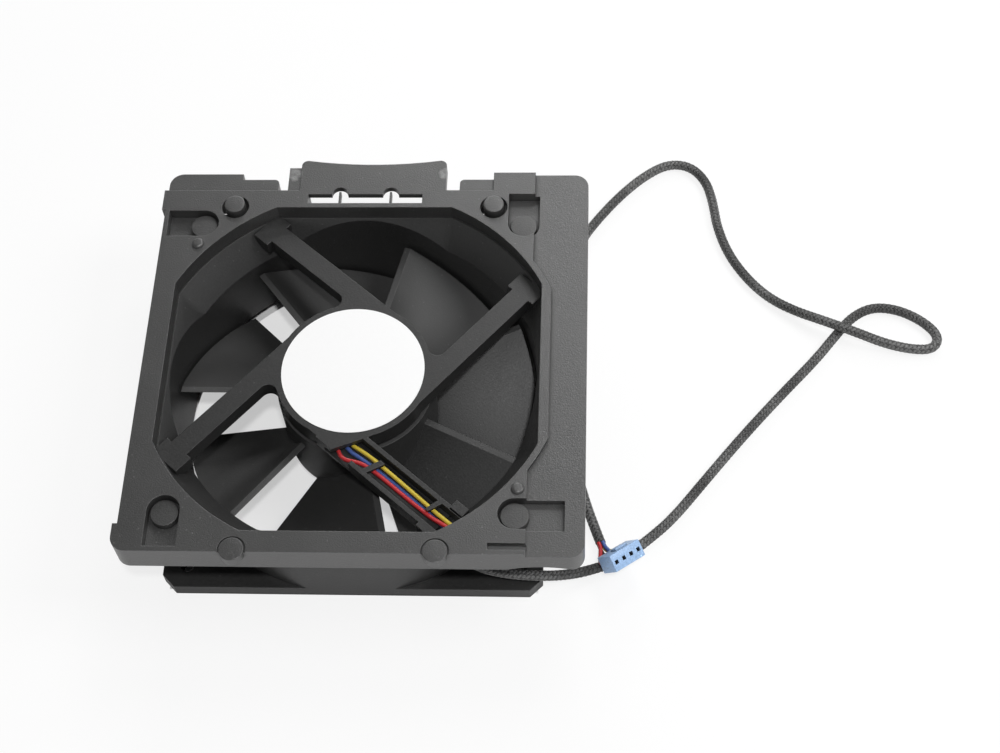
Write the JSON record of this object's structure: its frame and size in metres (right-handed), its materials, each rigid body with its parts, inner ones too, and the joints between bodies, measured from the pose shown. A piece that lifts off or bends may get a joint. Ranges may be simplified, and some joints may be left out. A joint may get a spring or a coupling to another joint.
{
  "type": "server cooling fan",
  "caption": "Axial cooling fan with twisted blades in a square moulded frame, held by push rivets in a carrier bracket with a grip tab, with a sleeved lead and connector.",
  "frame": {"origin": "on the rotor axis in the plane of the intake face, the middle of the four holes", "axes": "+Z along the rotor axis with the air flow, +Y towards the grip tab, +X towards the cable"},
  "size_m": [0.2593, 0.1785, 0.0455],
  "materials": {
    "bracket": "fine moulded texture",
    "housing": "moulded satin",
    "rivet": "moulded satin",
    "label": "smooth blank",
    "blade": "moulded satin",
    "steel": "ground",
    "zinc": "plated",
    "magnet": "bonded ferrite",
    "brass": "turned",
    "copper": "enamelled winding",
    "insulation": "moulded nylon",
    "board": "solder mask",
    "chips": "moulded",
    "wire_red": "extruded",
    "wire_yellow": "extruded",
    "wire_blue": "extruded",
    "wire_black": "extruded",
    "sleeve": "dark sleeve",
    "plug": "moulded nylon"
  },
  "bodies": {
    "frame": {"carrier_bracket": "bracket", "fan_housing": "housing", "fan_rivets": "rivet", "hub_label": "label", "bearing_tube": "brass", "stator_core": "steel", "insulator_lower": "insulation", "insulator_upper": "insulation", "stator_coils": "copper", "circuit_board": "board", "board_components": "chips", "bearing_outer_rings": "steel", "lead_red": "wire_red", "lead_yellow": "wire_yellow", "lead_blue": "wire_blue", "lead_black": "wire_black", "cable_sleeve": "sleeve", "tail_red": "wire_red", "tail_yellow": "wire_yellow", "tail_blue": "wire_blue", "tail_black": "wire_black", "connector_housing": "plug", "connector_terminals": "brass"},
    "rotor": {"impeller": "blade", "rotor_yoke": "zinc", "rotor_magnet": "magnet", "rotor_shaft": "steel", "shaft_bush": "brass", "bearing_inner_rings": "steel", "preload_washer": "steel", "retaining_clip": "steel"},
    "ball_set": {"bearing_balls": "steel", "ball_cages": "brass"}
  },
  "joints": [
    {"name": "rotor_spin", "type": "hinge", "parent": "frame", "child": "rotor", "pos_m": [0, 0, 0.02], "axis": [0, 0, -1], "continuous": true},
    {"name": "ball_orbit", "type": "hinge", "parent": "frame", "child": "ball_set", "pos_m": [0, 0, 0.02], "axis": [0, 0, -1], "continuous": true}
  ],
  "couplings": [
    {"joint": "ball_orbit", "follows": "rotor_spin", "ratio": 0.3636}
  ]
}
